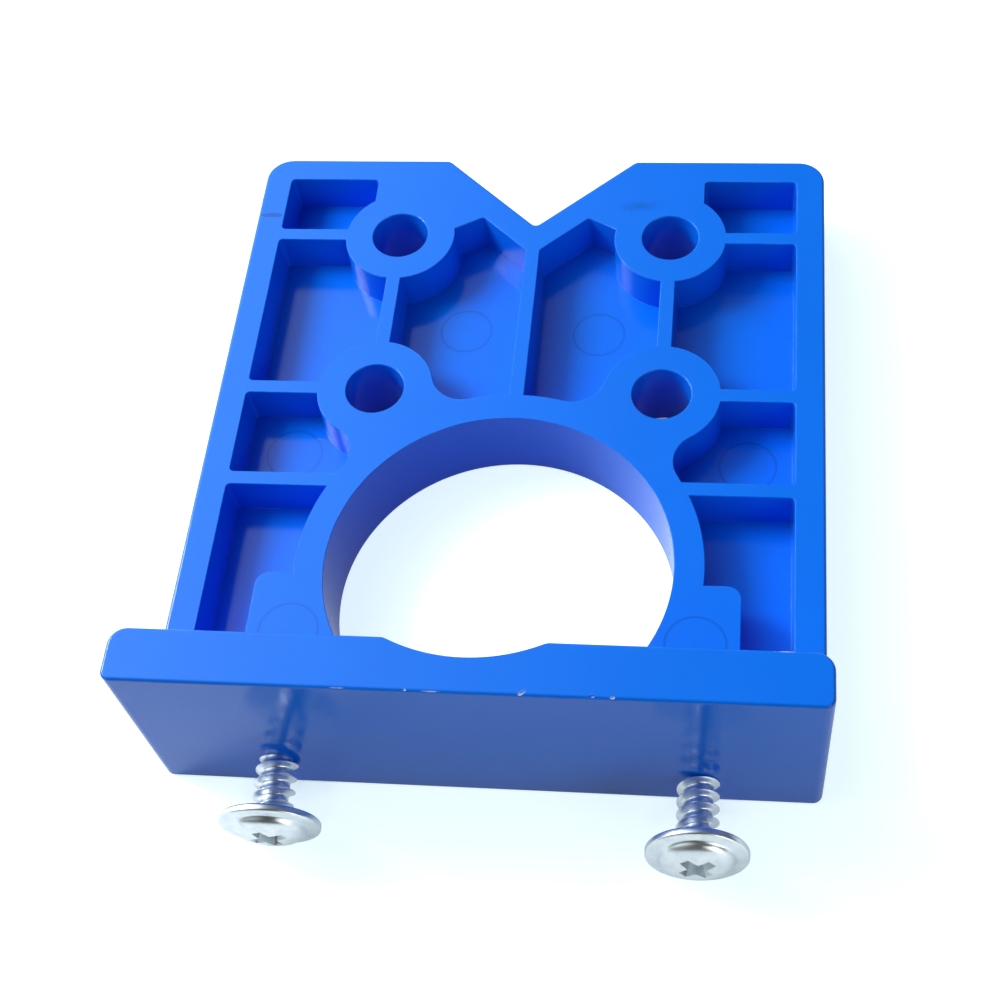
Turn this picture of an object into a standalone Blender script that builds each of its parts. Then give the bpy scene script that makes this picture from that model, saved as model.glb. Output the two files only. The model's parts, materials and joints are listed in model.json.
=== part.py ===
# Hinge drilling jig: one moulded plate with a fence along its front edge,
# and two washer-head screws that stand in holes in the fence.
# Lengths are in metres and +Z is up. The plate lies on its smooth underside.
# The fence is at the front, towards -Y. Plan positions are measured from the cup bore's axis,
# and the finished part is then moved so that the middle of its footprint is the origin.

import math

import bmesh
import bpy
from mathutils import Matrix, Vector

mm = 0.001

# Cup bore, which guides the hinge cup cutter, and the ring around it
bore_radius = 18.3 * mm
ring_wall = 3.3 * mm

# Plate, as wide as the fence
plate_width = 67.6 * mm
plate_thickness = 9.5 * mm
plate_corner_radius = 3.0 * mm

# Fence along the front edge, square to the plate; the bore narrows as it cuts up the fence
fence_setback = 15.5 * mm
fence_thickness = 5.5 * mm
fence_height = 23.1 * mm
fence_inner_corner_radius = 1.8 * mm
fence_outer_corner_radius = 1.0 * mm
scallop_narrowing = 0.9 * mm

# Guide holes in their bosses: two rows of two, and the plate behind the far row
hole_radius = 3.25 * mm
hole_spacing = 32.0 * mm
near_row = 21.95 * mm
row_spacing = 22.25 * mm
boss_wall = 3.4 * mm
back_margin = 11.9 * mm

# Pockets, and the rails and ribs that stand between them
pocket_depth = 4.8 * mm
rail_width = 3.35 * mm
rib_width = 1.9 * mm
front_rib = 9.8 * mm
ring_fillet_radius = 3.5 * mm

# Centring notch in the back edge, and the solid web around it
notch_half_width = 11.35 * mm
notch_depth = 10.3 * mm
notch_wall = 3.4 * mm
notch_corner_radius = 1.2 * mm
notch_root_radius = 0.6 * mm
shoulder_reach = 6.3 * mm
shoulder_slope = math.radians(28)
web_past_hole = 3.9 * mm

# Blocks that the screws run into, one on each side of the bore
block_back = 1.6 * mm
block_wall = 1.4 * mm
block_corner_radius = 1.6 * mm

# Screws: washer head, coarse self-tapping thread with its foot sunk in the core, pointed end
screw_length = 13.0 * mm
thread_radius = 2.1 * mm
core_radius = 1.5 * mm
thread_pitch = 1.4 * mm
thread_crest = 0.2 * mm
thread_sink = 0.3 * mm
point_length = 3.6 * mm
flange_radius = 5.05 * mm
flange_thickness = 0.8 * mm
flange_edge = 0.2 * mm
dome_radius = 4.1 * mm
dome_height = 1.25 * mm
recess_width = 3.9 * mm
recess_wing = 0.85 * mm
recess_depth = 1.5 * mm
recess_root = 1.7 * mm

# Screw holes: wider than the thread, and each screw lies a little low in its hole
screw_clearance = 0.4 * mm
screw_sag = 0.15 * mm
hole_end_clearance = 0.35 * mm

# Where each screw's axis meets the fence, above the middle of the plate's thickness,
# how far its head stands out, and its lean: neither was driven quite square
left_across = -20.6 * mm
left_above_middle = 0.55 * mm
left_out = 6.2 * mm
left_rise = math.radians(-1.7)
left_toe = math.radians(2.0)
right_across = 21.5 * mm
right_above_middle = -0.3 * mm
right_out = 7.3 * mm
right_rise = math.radians(6.5)
right_toe = math.radians(1.2)

# Colours, taken by eye
body_blue = (0.02, 0.16, 0.85, 1.0)
zinc_grey = (0.80, 0.82, 0.85, 1.0)

# How far a tool runs past the wall that it cuts, and how finely round stretches are divided
overcut = 1.0 * mm
arc_step = math.radians(9)
thread_steps = 16

# Sizes that follow from the ones above
half_width = plate_width / 2
inner_rail = half_width - rail_width
ring_radius = bore_radius + ring_wall
fence_face = -fence_setback
fence_front = fence_face - fence_thickness
boss_radius = hole_radius + boss_wall
boss_across = hole_spacing / 2
far_row = near_row + row_spacing
plate_back = far_row + back_margin
inner_back = plate_back - rail_width
notch_root = plate_back - notch_depth
floor_height = plate_thickness - pocket_depth
screw_hole_radius = thread_radius + screw_clearance
block_side = max(-left_across, right_across) + screw_hole_radius + block_wall
head_height = flange_thickness + dome_height


def clear_scene():
    for item in list(bpy.data.objects):
        bpy.data.objects.remove(item, do_unlink=True)


def finish(name, colour, roughness, metallic):
    material = bpy.data.materials.new(name)
    material.use_nodes = True
    shader = material.node_tree.nodes["Principled BSDF"]
    shader.inputs["Base Color"].default_value = colour
    shader.inputs["Roughness"].default_value = roughness
    shader.inputs["Metallic"].default_value = metallic
    material.diffuse_color = colour
    return material


def arc(centre, radius, start, end):
    # points from the angle start to the angle end, both included
    steps = max(1, math.ceil(abs(end - start) / arc_step - 1e-6))
    angles = [start + (end - start) * i / steps for i in range(steps + 1)]
    return [(centre[0] + radius * math.cos(a), centre[1] + radius * math.sin(a)) for a in angles]


def disc(centre, radius):
    return arc(centre, radius, 0.0, 2 * math.pi)[:-1]


def rectangle(left, front, right, back):
    return [(left, front), (right, front), (right, back), (left, back)]


def rounded(before, corner, after, radius):
    # points of the arc that rounds off a corner
    p, a, b = Vector(corner), Vector(before), Vector(after)
    u = (a - p).normalized()
    v = (b - p).normalized()
    half = u.angle(v) / 2
    centre = p + (u + v).normalized() * radius / math.sin(half)
    first = p + u * radius / math.tan(half) - centre
    last = p + v * radius / math.tan(half) - centre
    start = math.atan2(first.y, first.x)
    sweep = math.atan2(first.cross(last), first.dot(last))
    return arc(centre, radius, start, start + sweep)


def mirrored(outline):
    return [(-x, y) for x, y in reversed(outline)]


def plate_outline():
    # runs on to the middle of the fence
    front = (half_width, fence_face - fence_thickness / 2)
    corner = (half_width, plate_back)
    notch = (notch_half_width, plate_back)
    root = (0, notch_root)
    side = [
        front,
        *rounded(front, corner, notch, plate_corner_radius),
        *rounded(corner, notch, root, notch_corner_radius),
    ]
    middle = rounded(notch, root, (-notch_half_width, plate_back), notch_root_radius)
    return side + middle + mirrored(side)


def fence_outline():
    front = (half_width, fence_front)
    back = (half_width, fence_face)
    side = [
        *rounded((0, fence_front), front, back, fence_outer_corner_radius),
        *rounded(front, back, (0, fence_face), fence_inner_corner_radius),
    ]
    return side + mirrored(side)


def block_outline():
    # both screw blocks and what joins them, which the bore cuts away
    front = (block_side, fence_front)
    corner = (block_side, -block_back)
    side = [front, *rounded(front, corner, (0, -block_back), block_corner_radius)]
    return side + mirrored(side)


def web_outline():
    # the solid web around the notch: its wall, its shoulders and its corners by the far bosses
    slope = notch_depth / notch_half_width
    inner_root = notch_root - notch_wall * math.hypot(1.0, slope)
    shoulder = inner_root + slope * shoulder_reach
    low = shoulder - (boss_across - shoulder_reach) * math.tan(shoulder_slope)
    edge = boss_across + web_past_hole
    side = [(shoulder_reach, shoulder), (boss_across, low), (edge, far_row), (edge, plate_back)]
    return [(0, inner_root)] + side + mirrored(side)


def ring_fillet_outline():
    # fills the two corners between the ring and the right near boss with hollow fillets
    boss = Vector((boss_across, near_row))
    gap = boss.length
    from_ring = ring_radius + ring_fillet_radius
    from_boss = boss_radius + ring_fillet_radius
    along = (from_ring**2 - from_boss**2 + gap**2) / (2 * gap)
    aside = math.sqrt(from_ring**2 - along**2)
    line = boss / gap
    across = Vector((line.y, -line.x))
    outer = line * along + across * aside
    inner = line * along - across * aside
    turn = math.atan2(line.y, line.x)
    at_ring = math.pi - math.atan2(aside, along)
    at_boss = math.atan2(aside, gap - along)
    return [
        (0, 0),
        *arc(outer, ring_fillet_radius, turn + at_ring, turn + at_boss),
        tuple(boss),
        *arc(inner, ring_fillet_radius, turn - at_boss, turn - at_ring),
    ]


def standing_outlines():
    # everything that stands between the pockets; the pieces overlap where they join
    rib = rib_width / 2
    outlines = [
        disc((0, 0), ring_radius),
        rectangle(-rib, 0, rib, notch_root),
        block_outline(),
        web_outline(),
    ]
    right = [
        disc((boss_across, near_row), boss_radius),
        disc((boss_across, far_row), boss_radius),
        ring_fillet_outline(),
        rectangle(boss_across, far_row - rib, half_width, far_row + rib),
        rectangle(boss_across, near_row - rib, half_width, near_row + rib),
        rectangle(bore_radius, front_rib - rib, half_width, front_rib + rib),
        rectangle(boss_across - rib, near_row, boss_across + rib, far_row),
    ]
    return outlines + right + [mirrored(outline) for outline in right]


def add_prism(build, outline, low, high):
    # one closed prism, its outline given anticlockwise
    lower = [build.verts.new((x, y, low)) for x, y in outline]
    upper = [build.verts.new((x, y, high)) for x, y in outline]
    build.faces.new(list(reversed(lower)))
    build.faces.new(upper)
    for i, start in enumerate(lower):
        j = (i + 1) % len(outline)
        build.faces.new((start, lower[j], upper[j], upper[i]))


def add_turned(build, profile, steps, matrix):
    # one turned solid: profile is (radius, height) pairs from its low end to its high end
    turns = [2 * math.pi * i / steps for i in range(steps)]
    rings = []
    for radius, height in profile:
        points = [Vector((radius * math.cos(a), radius * math.sin(a), height)) for a in turns]
        rings.append([build.verts.new(matrix @ point) for point in points])
    build.faces.new(list(reversed(rings[0])))
    build.faces.new(rings[-1])
    for lower, upper in zip(rings, rings[1:]):
        for i in range(steps):
            j = (i + 1) % steps
            build.faces.new((lower[i], lower[j], upper[j], upper[i]))


def new_object(name, build, material=None):
    mesh = bpy.data.meshes.new(name)
    build.to_mesh(mesh)
    build.free()
    if material:
        mesh.materials.append(material)
    mesh.shade_smooth()
    mesh.set_sharp_from_angle(angle=math.radians(30))
    item = bpy.data.objects.new(name, mesh)
    bpy.context.scene.collection.objects.link(item)
    return item


def combine(target, tool, operation, tool_overlaps_itself=False):
    step = target.modifiers.new(tool.name, "BOOLEAN")
    step.object = tool
    step.operation = operation
    step.solver = "EXACT"
    step.use_self = tool_overlaps_itself
    tool.hide_render = True
    tool.display_type = "WIRE"
    tool.parent = target


def screw_axis(rise, toe):
    # from the hole's mouth outwards, along the screw
    level = math.cos(rise)
    return Vector((math.sin(toe) * level, -math.cos(toe) * level, math.sin(rise)))


def screw_frame(across, above_middle, out, rise, toe):
    # Z runs out of the fence along the screw; the origin is this far out from the fence
    axis = screw_axis(rise, toe)
    mouth = Vector((across, fence_front, plate_thickness / 2 + above_middle))
    turn = axis.to_track_quat("Z", "Y").to_matrix().to_4x4()
    return Matrix.Translation(mouth + axis * out) @ turn


def pocket_tool():
    build = bmesh.new()
    for outline in standing_outlines():
        add_prism(build, outline, floor_height - overcut, plate_thickness + 2 * overcut)
    standing = new_object("standing_tool", build)
    build = bmesh.new()
    front = fence_face - fence_thickness / 4
    inside = rectangle(-inner_rail, front, inner_rail, inner_back)
    add_prism(build, inside, floor_height, plate_thickness + overcut)
    tool = new_object("pocket_tool", build)
    combine(tool, standing, "DIFFERENCE", tool_overlaps_itself=True)
    return tool


def fence_tool():
    build = bmesh.new()
    add_prism(build, fence_outline(), 0.0, fence_height)
    return new_object("fence_tool", build)


def bore_tool():
    # straight through the plate, then narrowing up the fence's inner face
    taper = scallop_narrowing / (fence_height - plate_thickness)
    top = bore_radius - scallop_narrowing - taper * overcut
    profile = [
        (bore_radius, -overcut),
        (bore_radius, plate_thickness),
        (top, fence_height + overcut),
    ]
    build = bmesh.new()
    add_turned(build, profile, 80, Matrix.Identity(4))
    return new_object("bore_tool", build)


def guide_hole_tool():
    build = bmesh.new()
    for row in (near_row, far_row):
        for across in (-boss_across, boss_across):
            add_prism(build, disc((across, row), hole_radius), -overcut, plate_thickness + overcut)
    return new_object("guide_hole_tool", build)


def screw_hole_tool():
    # wide for the thread, and drawn in to a blind end that follows the screw's point
    depth = screw_length + hole_end_clearance
    profile = [
        (core_radius / 2, -depth),
        (screw_hole_radius, point_length - depth),
        (screw_hole_radius, 2 * overcut),
    ]
    left = screw_frame(left_across, left_above_middle + screw_sag, 0.0, left_rise, left_toe)
    right = screw_frame(right_across, right_above_middle + screw_sag, 0.0, right_rise, right_toe)
    build = bmesh.new()
    add_turned(build, profile, 32, left)
    add_turned(build, profile, 32, right)
    return new_object("screw_hole_tool", build)


def jig_body(material):
    build = bmesh.new()
    add_prism(build, plate_outline(), 0.0, plate_thickness)
    body = new_object("jig_body", build, material)
    combine(body, pocket_tool(), "DIFFERENCE")
    combine(body, fence_tool(), "UNION")
    combine(body, bore_tool(), "DIFFERENCE")
    combine(body, guide_hole_tool(), "DIFFERENCE")
    combine(body, screw_hole_tool(), "DIFFERENCE")
    return body


def thread_section(height, fade):
    # the ridge's four corners, as (radius, height); it shrinks towards the screw's point
    point = min(1.0, (height + screw_length) / point_length)
    foot = core_radius - thread_sink
    rise = (thread_radius - core_radius) * fade * min(1.0, 1.6 * point)
    crest = thread_crest / 2 * point
    spread = crest + (thread_radius - foot) * math.tan(math.radians(30)) * point
    inner = foot * point
    outer = core_radius * point + rise
    return [
        (inner, height - spread),
        (outer, height - crest),
        (outer, height + crest),
        (inner, height + spread),
    ]


def thread_tool(name):
    # a helical ridge that fades out under the head
    start = -thread_pitch * 0.6
    end = thread_pitch * 0.5 - screw_length
    turns = (start - end) / thread_pitch
    steps = round(turns * thread_steps)
    build = bmesh.new()
    sections = []
    for i in range(steps + 1):
        height = start + (end - start) * i / steps
        turn = Matrix.Rotation(-2 * math.pi * turns * i / steps, 3, "Z")
        corners = thread_section(height, min(1.0, (i + 1) / thread_steps))
        sections.append([build.verts.new(turn @ Vector((r, 0.0, z))) for r, z in corners])
    for first, second in zip(sections, sections[1:]):
        for k in range(4):
            m = (k + 1) % 4
            build.faces.new((first[k], first[m], second[m], second[k]))
    build.faces.new(list(reversed(sections[0])))
    build.faces.new(sections[-1])
    bmesh.ops.recalc_face_normals(build, faces=build.faces)
    return new_object(name, build)


def recess_outline(reach, wing):
    # a plus sign with arms twice wing wide
    quarter = [Vector((reach, -wing)), Vector((reach, wing)), Vector((wing, wing))]
    turns = [Matrix.Rotation(math.pi / 2 * i, 2) for i in range(4)]
    return [turn @ corner for turn in turns for corner in quarter]


def recess_tool(name):
    # a cross that narrows towards its bottom
    low = recess_outline(recess_root / 2, recess_root / 5)
    full = recess_outline(recess_width / 2, recess_wing / 2)
    levels = (head_height - recess_depth, head_height, head_height + overcut)
    build = bmesh.new()
    rings = []
    for outline, height in zip((low, full, full), levels):
        rings.append([build.verts.new((x, y, height)) for x, y in outline])
    build.faces.new(list(reversed(rings[0])))
    build.faces.new(rings[-1])
    for lower, upper in zip(rings, rings[1:]):
        for i, corner in enumerate(lower):
            j = (i + 1) % len(lower)
            build.faces.new((corner, lower[j], upper[j], upper[i]))
    return new_object(name, build)


def screw_profile():
    # the blank, from its point up to the crown of its domed head
    dome = []
    for i in range(6):
        a = math.pi / 2 * i / 6
        radius = dome_radius * math.cos(a) ** 0.7
        dome.append((radius, flange_thickness + dome_height * math.sin(a)))
    return [
        (core_radius / 10, -screw_length),
        (core_radius, point_length - screw_length),
        (core_radius, 0.0),
        (flange_radius - flange_edge, 0.0),
        (flange_radius, flange_edge),
        (flange_radius, flange_thickness - flange_edge),
        (flange_radius - flange_edge, flange_thickness),
        *dome,
        (dome_radius / 10, head_height),
    ]


def screw(name, frame, material):
    build = bmesh.new()
    add_turned(build, screw_profile(), 36, Matrix.Identity(4))
    item = new_object(name, build, material)
    combine(item, thread_tool(name + "_thread_tool"), "UNION", tool_overlaps_itself=True)
    combine(item, recess_tool(name + "_recess_tool"), "DIFFERENCE")
    item.matrix_world = frame
    return item


def move_to_footprint_middle(pieces):
    # the origin is at the middle of the whole part's footprint, on its underside
    bpy.context.view_layer.update()
    shapes = bpy.context.evaluated_depsgraph_get()
    depths = []
    for piece in pieces:
        final = piece.evaluated_get(shapes)
        depths += [(final.matrix_world @ corner.co).y for corner in final.data.vertices]
    shift = -(min(depths) + max(depths)) / 2
    for piece in pieces:
        piece.location.y += shift
    return shift


clear_scene()
blue = finish("blue_plastic", body_blue, 0.3, 0.0)
zinc = finish("zinc_plate", zinc_grey, 0.25, 1.0)
left_frame = screw_frame(left_across, left_above_middle, left_out, left_rise, left_toe)
right_frame = screw_frame(right_across, right_above_middle, right_out, right_rise, right_toe)
pieces = [
    jig_body(blue),
    screw("left_screw", left_frame, zinc),
    screw("right_screw", right_frame, zinc),
]
shift = move_to_footprint_middle(pieces)
print("bore axis at y =", round(shift / mm, 3), "mm")
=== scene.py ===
import json
import math

import bmesh
import bpy
from mathutils import Matrix, Vector


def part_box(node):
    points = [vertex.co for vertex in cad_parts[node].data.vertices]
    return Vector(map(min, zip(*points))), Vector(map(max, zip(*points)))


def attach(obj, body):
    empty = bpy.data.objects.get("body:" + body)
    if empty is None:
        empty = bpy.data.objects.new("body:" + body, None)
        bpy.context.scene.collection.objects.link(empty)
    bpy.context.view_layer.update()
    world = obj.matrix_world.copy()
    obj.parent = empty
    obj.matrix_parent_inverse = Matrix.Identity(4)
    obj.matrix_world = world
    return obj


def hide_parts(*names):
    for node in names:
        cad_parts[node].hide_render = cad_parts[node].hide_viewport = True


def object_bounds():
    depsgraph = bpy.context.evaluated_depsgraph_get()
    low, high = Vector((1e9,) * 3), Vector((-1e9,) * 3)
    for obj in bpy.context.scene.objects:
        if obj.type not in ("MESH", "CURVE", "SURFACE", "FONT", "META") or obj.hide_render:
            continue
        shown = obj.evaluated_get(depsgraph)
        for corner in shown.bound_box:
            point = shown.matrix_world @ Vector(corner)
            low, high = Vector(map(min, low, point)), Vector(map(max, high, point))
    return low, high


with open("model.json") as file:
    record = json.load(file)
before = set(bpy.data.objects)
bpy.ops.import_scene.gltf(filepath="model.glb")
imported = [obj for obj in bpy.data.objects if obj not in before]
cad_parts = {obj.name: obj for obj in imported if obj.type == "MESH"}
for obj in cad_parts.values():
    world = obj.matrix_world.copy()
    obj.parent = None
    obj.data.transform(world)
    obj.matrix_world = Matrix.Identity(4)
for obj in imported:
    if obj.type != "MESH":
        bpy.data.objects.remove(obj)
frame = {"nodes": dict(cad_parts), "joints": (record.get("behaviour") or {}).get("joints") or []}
cadLow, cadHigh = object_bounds()
print("frame loaded:", ", ".join(sorted(frame["nodes"])))

mm = 0.001  # pieces are built in millimetres and scaled once at the end

# Jig body, in millimetres. Plan positions are measured from the bore's axis.
jig = dict(
    boreRadius=18.3, ringWall=3.3,
    plateThickness=9.5, plateCorner=3.0,
    fenceSetback=15.5, fenceThickness=5.5, fenceInnerCorner=1.8, fenceOuterCorner=1.0,
    scallopNarrowing=0.9,
    holeRadius=3.25, holeSpacing=32.0, nearRow=21.95, rowSpacing=22.25, bossWall=3.4,
    pocketDepth=4.8, railWidth=3.35, ribWidth=1.9, frontRib=9.8, ringFillet=3.5,
    notchHalfWidth=11.35, notchDepth=10.3, notchWall=3.4, notchCorner=1.2, notchRoot=0.7,
    shoulderReach=6.3, shoulderSlope=28.0, webPastHole=3.9,
    blockSide=25.4, blockBack=1.6, blockCorner=1.6,
    pocketCorner=0.35,  # upright corners of the pockets
    ribCornerShare=0.6,  # the corner between middle rib and notch, as a share of the others
    floorFillet=0.06,  # between a pocket's wall and its floor
    draft=0.12,  # how much wider a pocket is at its mouth
    lip=0.15,  # rounding along the top of each wall
    edge=0.35,  # rounding of the outer edges
    holeLip=0.22,  # rounding of the guide holes' rims
    screwHoleRadius=2.5, screwHoleDepth=13.3, screwHoleTip=0.7, screwHoleTaper=3.6,
    screwHoleMouth=((0.0, -0.35), (0.12, -0.1), (0.3, 0.15)),  # (wider by, height) round its mouth
    screwSag=0.15,  # how far a screw lies below the middle of its hole
    pinMarkDepth=0.025, pinMarkGroove=0.2,
    nickSink=0.03, nickHeight=0.14, nickBite=0.8,
    smoothBelow=32,  # degrees between faces that shade as one
)
overcut = 1.0  # how far a cutting tool stands out of what it cuts
lipSweep = 72  # degrees of a lip's rounding, kept short of a right angle so that it crosses the face
lipShare = 0.9  # how much of a lip's radius lies below the face
edgeSteps = 5  # facets across a rounded edge or lip
roundSteps = 64  # sides of the guide holes, screw holes and pin marks
boreSteps = 160
rimSteps = 120  # along the part of the bore's rim that the fence leaves free
headSteps = 96
domeSteps = 14

# Ejector pin marks: middle, height and radius; the corner one shows only where it crosses the rail
pinMarks = dict(
    leftBlock=(-20.8, -8.5, "top", 3.1), rightBlock=(20.8, -8.5, "top", 3.1),
    leftMiddle=(-25.2, 16.0, "floor", 3.1), rightMiddle=(25.6, 15.8, "floor", 3.1),
    leftInner=(-7.5, 33.7, "floor", 2.95), rightInner=(8.1, 33.5, "floor", 2.95),
)
cornerMark = dict(place=(-31.5, 49.4), radius=2.3, start=190.0, end=300.0, depth=0.04, groove=0.4)

# Nicks along the fence's top, painted pale, and painted highlights along its edges: which edge,
# distance across, distance in from that edge, turn, half length and half width
nicksAndEdgeHighlights = dict(
    slantedNick=("front", 5.7, 0.22, 40.0, 0.56, 0.17),
    rightDot=("front", 12.13, 0.20, 0.0, 0.24, 0.17),
    farRightDot=("front", 13.93, 0.10, 30.0, 0.28, 0.17),
    leftDot=("front", -4.97, 0.12, 0.0, 0.20, 0.14),
    leftRub=("front", -11.2, 0.10, 0.0, 0.8, 0.045),
    middleRub=("front", -2.7, 0.11, 0.0, 0.9, 0.04),
    backEdgeHighlight=("back", 29.3, 0.10, 0.0, 1.3, 0.07),
)

# Sizes that follow from the frame and from the ones above
bodyLow, bodyHigh = (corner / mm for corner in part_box("jig_body"))
halfWidth = bodyHigh.x
fenceHeight = bodyHigh.z
boreY = bodyLow.y + jig["fenceThickness"] + jig["fenceSetback"]
plateBack = bodyHigh.y - boreY
plateTop = jig["plateThickness"]
floorZ = plateTop - jig["pocketDepth"]
markLevels = dict(top=plateTop, floor=floorZ)
innerRail = halfWidth - jig["railWidth"]
innerBack = plateBack - jig["railWidth"]
fenceFace = -jig["fenceSetback"]
fenceFront = fenceFace - jig["fenceThickness"]
ringRadius = jig["boreRadius"] + jig["ringWall"]
bossRadius = jig["holeRadius"] + jig["bossWall"]
bossAcross = jig["holeSpacing"] / 2
nearRow = jig["nearRow"]
farRow = nearRow + jig["rowSpacing"]
halfRib = jig["ribWidth"] / 2
notchRootY = plateBack - jig["notchDepth"]
notchSlope = jig["notchDepth"] / jig["notchHalfWidth"]


# Outlines

def arc(centre, radius, start, end, steps):
    angles = [start + (end - start) * i / steps for i in range(steps + 1)]
    return [Vector((centre[0] + radius * math.cos(a), centre[1] + radius * math.sin(a))) for a in angles]


def roundedCorner(before, corner, after, radius, steps=6):
    p, a, b = Vector(corner), Vector(before), Vector(after)
    u = (a - p).normalized()
    v = (b - p).normalized()
    half = u.angle(v) / 2
    centre = p + (u + v).normalized() * radius / math.sin(half)
    first = p + u * radius / math.tan(half) - centre
    last = p + v * radius / math.tan(half) - centre
    start = math.atan2(first.y, first.x)
    sweep = math.atan2(first.cross(last), first.dot(last))
    return arc(centre, radius, start, start + sweep, steps)


def mirrored(points):
    return [Vector((-p.x, p.y)) for p in reversed(points)]


def angleFrom(centre, point):
    return math.atan2(point[1] - centre[1], point[0] - centre[0])


def meet(p, d, q, e):
    # where the line through p along d crosses the line through q along e
    return p + d * ((q - p).cross(e) / d.cross(e))


def reachCircle(p, d, centre, radius):
    # where a line through p along d first meets a circle
    back = p - centre
    b = back.dot(d)
    return p + d * (-b - math.sqrt(b * b - back.length_squared + radius**2))


def filletCentre(side):
    # between the ring and the near boss: side is 1 outside, -1 inside
    boss = Vector((bossAcross, nearRow))
    gap = boss.length
    fromRing = ringRadius + jig["ringFillet"]
    fromBoss = bossRadius + jig["ringFillet"]
    along = (fromRing**2 - fromBoss**2 + gap**2) / (2 * gap)
    aside = math.sqrt(fromRing**2 - along**2)
    line = boss / gap
    return line * along + Vector((line.y, -line.x)) * aside * side


# Each pocket's outline can be drawn larger by grow, so one pocket gets its draft, fillets and lip
# by stacking outlines. The arcs keep their number of points whatever grow is.

def cornerPocket(grow):
    rail, back = innerRail + grow, innerBack + grow
    edge = bossAcross + jig["webPastHole"] - grow
    rib, boss = halfRib - grow, bossRadius - grow
    low = farRow + rib
    corner = jig["pocketCorner"] + grow
    start = math.acos((edge - bossAcross) / boss)
    return [
        *roundedCorner((edge, low), (rail, low), (rail, back), corner),
        *roundedCorner((rail, low), (rail, back), (edge, back), corner),
        *roundedCorner((rail, back), (edge, back), (edge, low), corner),
        *arc((bossAcross, farRow), boss, start, math.asin(rib / boss), steps=12),
    ]


def sidePocket(grow):
    rail = innerRail + grow
    rib, boss = halfRib - grow, bossRadius - grow
    low, high = nearRow + rib, farRow - rib
    corner = jig["pocketCorner"] + grow
    turn = math.asin(rib / boss)
    return [
        *roundedCorner((0, low), (rail, low), (rail, high), corner),
        *roundedCorner((rail, low), (rail, high), (0, high), corner),
        *arc((bossAcross, farRow), boss, -turn, turn - math.pi / 2, steps=20),
        *arc((bossAcross, nearRow), boss, math.pi / 2 - turn, turn, steps=20),
    ]


def innerPocket(grow):
    near, far = Vector((bossAcross, nearRow)), Vector((bossAcross, farRow))
    rib, boss, ring = halfRib - grow, bossRadius - grow, ringRadius - grow
    corner = jig["pocketCorner"] + grow
    fillet = filletCentre(-1)
    filletRadius = jig["ringFillet"] + grow
    turn = math.asin(rib / boss)
    # the straight beside the notch, then the shoulder that falls away to the boss
    wall = jig["notchWall"] - grow
    wallAtMiddle = Vector((0, notchRootY - wall * math.hypot(1, notchSlope)))
    wallWay = Vector((1, notchSlope)).normalized()
    slope = math.radians(jig["shoulderSlope"])
    reach = jig["shoulderReach"]
    bend = Vector((reach, notchRootY + notchSlope * reach - jig["notchWall"] * math.hypot(1, notchSlope)))
    shoulderWay = Vector((math.cos(slope), -math.sin(slope)))
    bend += Vector((math.sin(slope), math.cos(slope))) * grow
    top = meet(wallAtMiddle, wallWay, bend, shoulderWay)
    shoulder = reachCircle(top, shoulderWay, far, boss)
    ribTop = Vector((rib, wallAtMiddle.y + notchSlope * rib))
    return [
        *arc((0, 0), ring, math.acos(rib / ring), angleFrom((0, 0), fillet), steps=8),
        *arc(fillet, filletRadius, math.pi + angleFrom((0, 0), fillet),
             angleFrom(fillet, near) + 2 * math.pi, steps=14)[1:-1],
        *arc(near, boss, angleFrom(near, fillet), math.pi / 2 + turn, steps=14),
        *arc(far, boss, 1.5 * math.pi - turn, angleFrom(far, shoulder), steps=18),
        *roundedCorner(shoulder, top, ribTop, corner),
        *roundedCorner(top, ribTop, (rib, 0), corner * jig["ribCornerShare"]),
    ]


def middlePocket(grow):
    near = Vector((bossAcross, nearRow))
    rail = innerRail + grow
    rib, boss, ring = halfRib - grow, bossRadius - grow, ringRadius - grow
    low, high = jig["frontRib"] + rib, nearRow - rib
    corner = jig["pocketCorner"] + grow
    fillet = filletCentre(1)
    onRing = math.pi + angleFrom((0, 0), fillet)
    return [
        *roundedCorner((0, low), (rail, low), (rail, high), corner),
        *roundedCorner((rail, low), (rail, high), (0, high), corner),
        *arc(near, boss, -math.asin(rib / boss), angleFrom(near, fillet), steps=14),
        *arc(fillet, jig["ringFillet"] + grow, angleFrom(fillet, near), onRing, steps=14)[1:-1],
        *arc((0, 0), ring, angleFrom((0, 0), fillet), math.asin(low / ring), steps=3),
    ]


def frontPocket(grow):
    # runs on into the fence, which closes it
    rail, side = innerRail + grow, jig["blockSide"] - grow
    ring = ringRadius - grow
    high, low = jig["frontRib"] - halfRib + grow, -jig["blockBack"] - grow
    front = fenceFace - jig["fenceThickness"] / 4
    corner = jig["pocketCorner"] + grow
    return [
        Vector((side, front)),
        Vector((rail, front)),
        *roundedCorner((rail, front), (rail, high), (0, high), corner),
        *arc((0, 0), ring, math.asin(high / ring), math.asin(low / ring), steps=12),
        *roundedCorner((0, low), (side, low), (side, front), jig["blockCorner"] - grow, steps=8),
    ]


def plateOutline(grow):
    front = (halfWidth + grow, fenceFace - jig["fenceThickness"] / 2)
    back = plateBack + grow
    root = notchRootY + grow * math.hypot(1, notchSlope)
    mouth = (back - root) / notchSlope
    side = [
        Vector(front),
        *roundedCorner(front, (halfWidth + grow, back), (mouth, back),
                       jig["plateCorner"] + grow, steps=12),
        *roundedCorner((halfWidth, back), (mouth, back), (0, root),
                       jig["notchCorner"] + grow, steps=8),
    ]
    middle = roundedCorner((mouth, back), (0, root), (-mouth, back), jig["notchRoot"] - grow, steps=8)
    return side + middle + mirrored(side)


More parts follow.
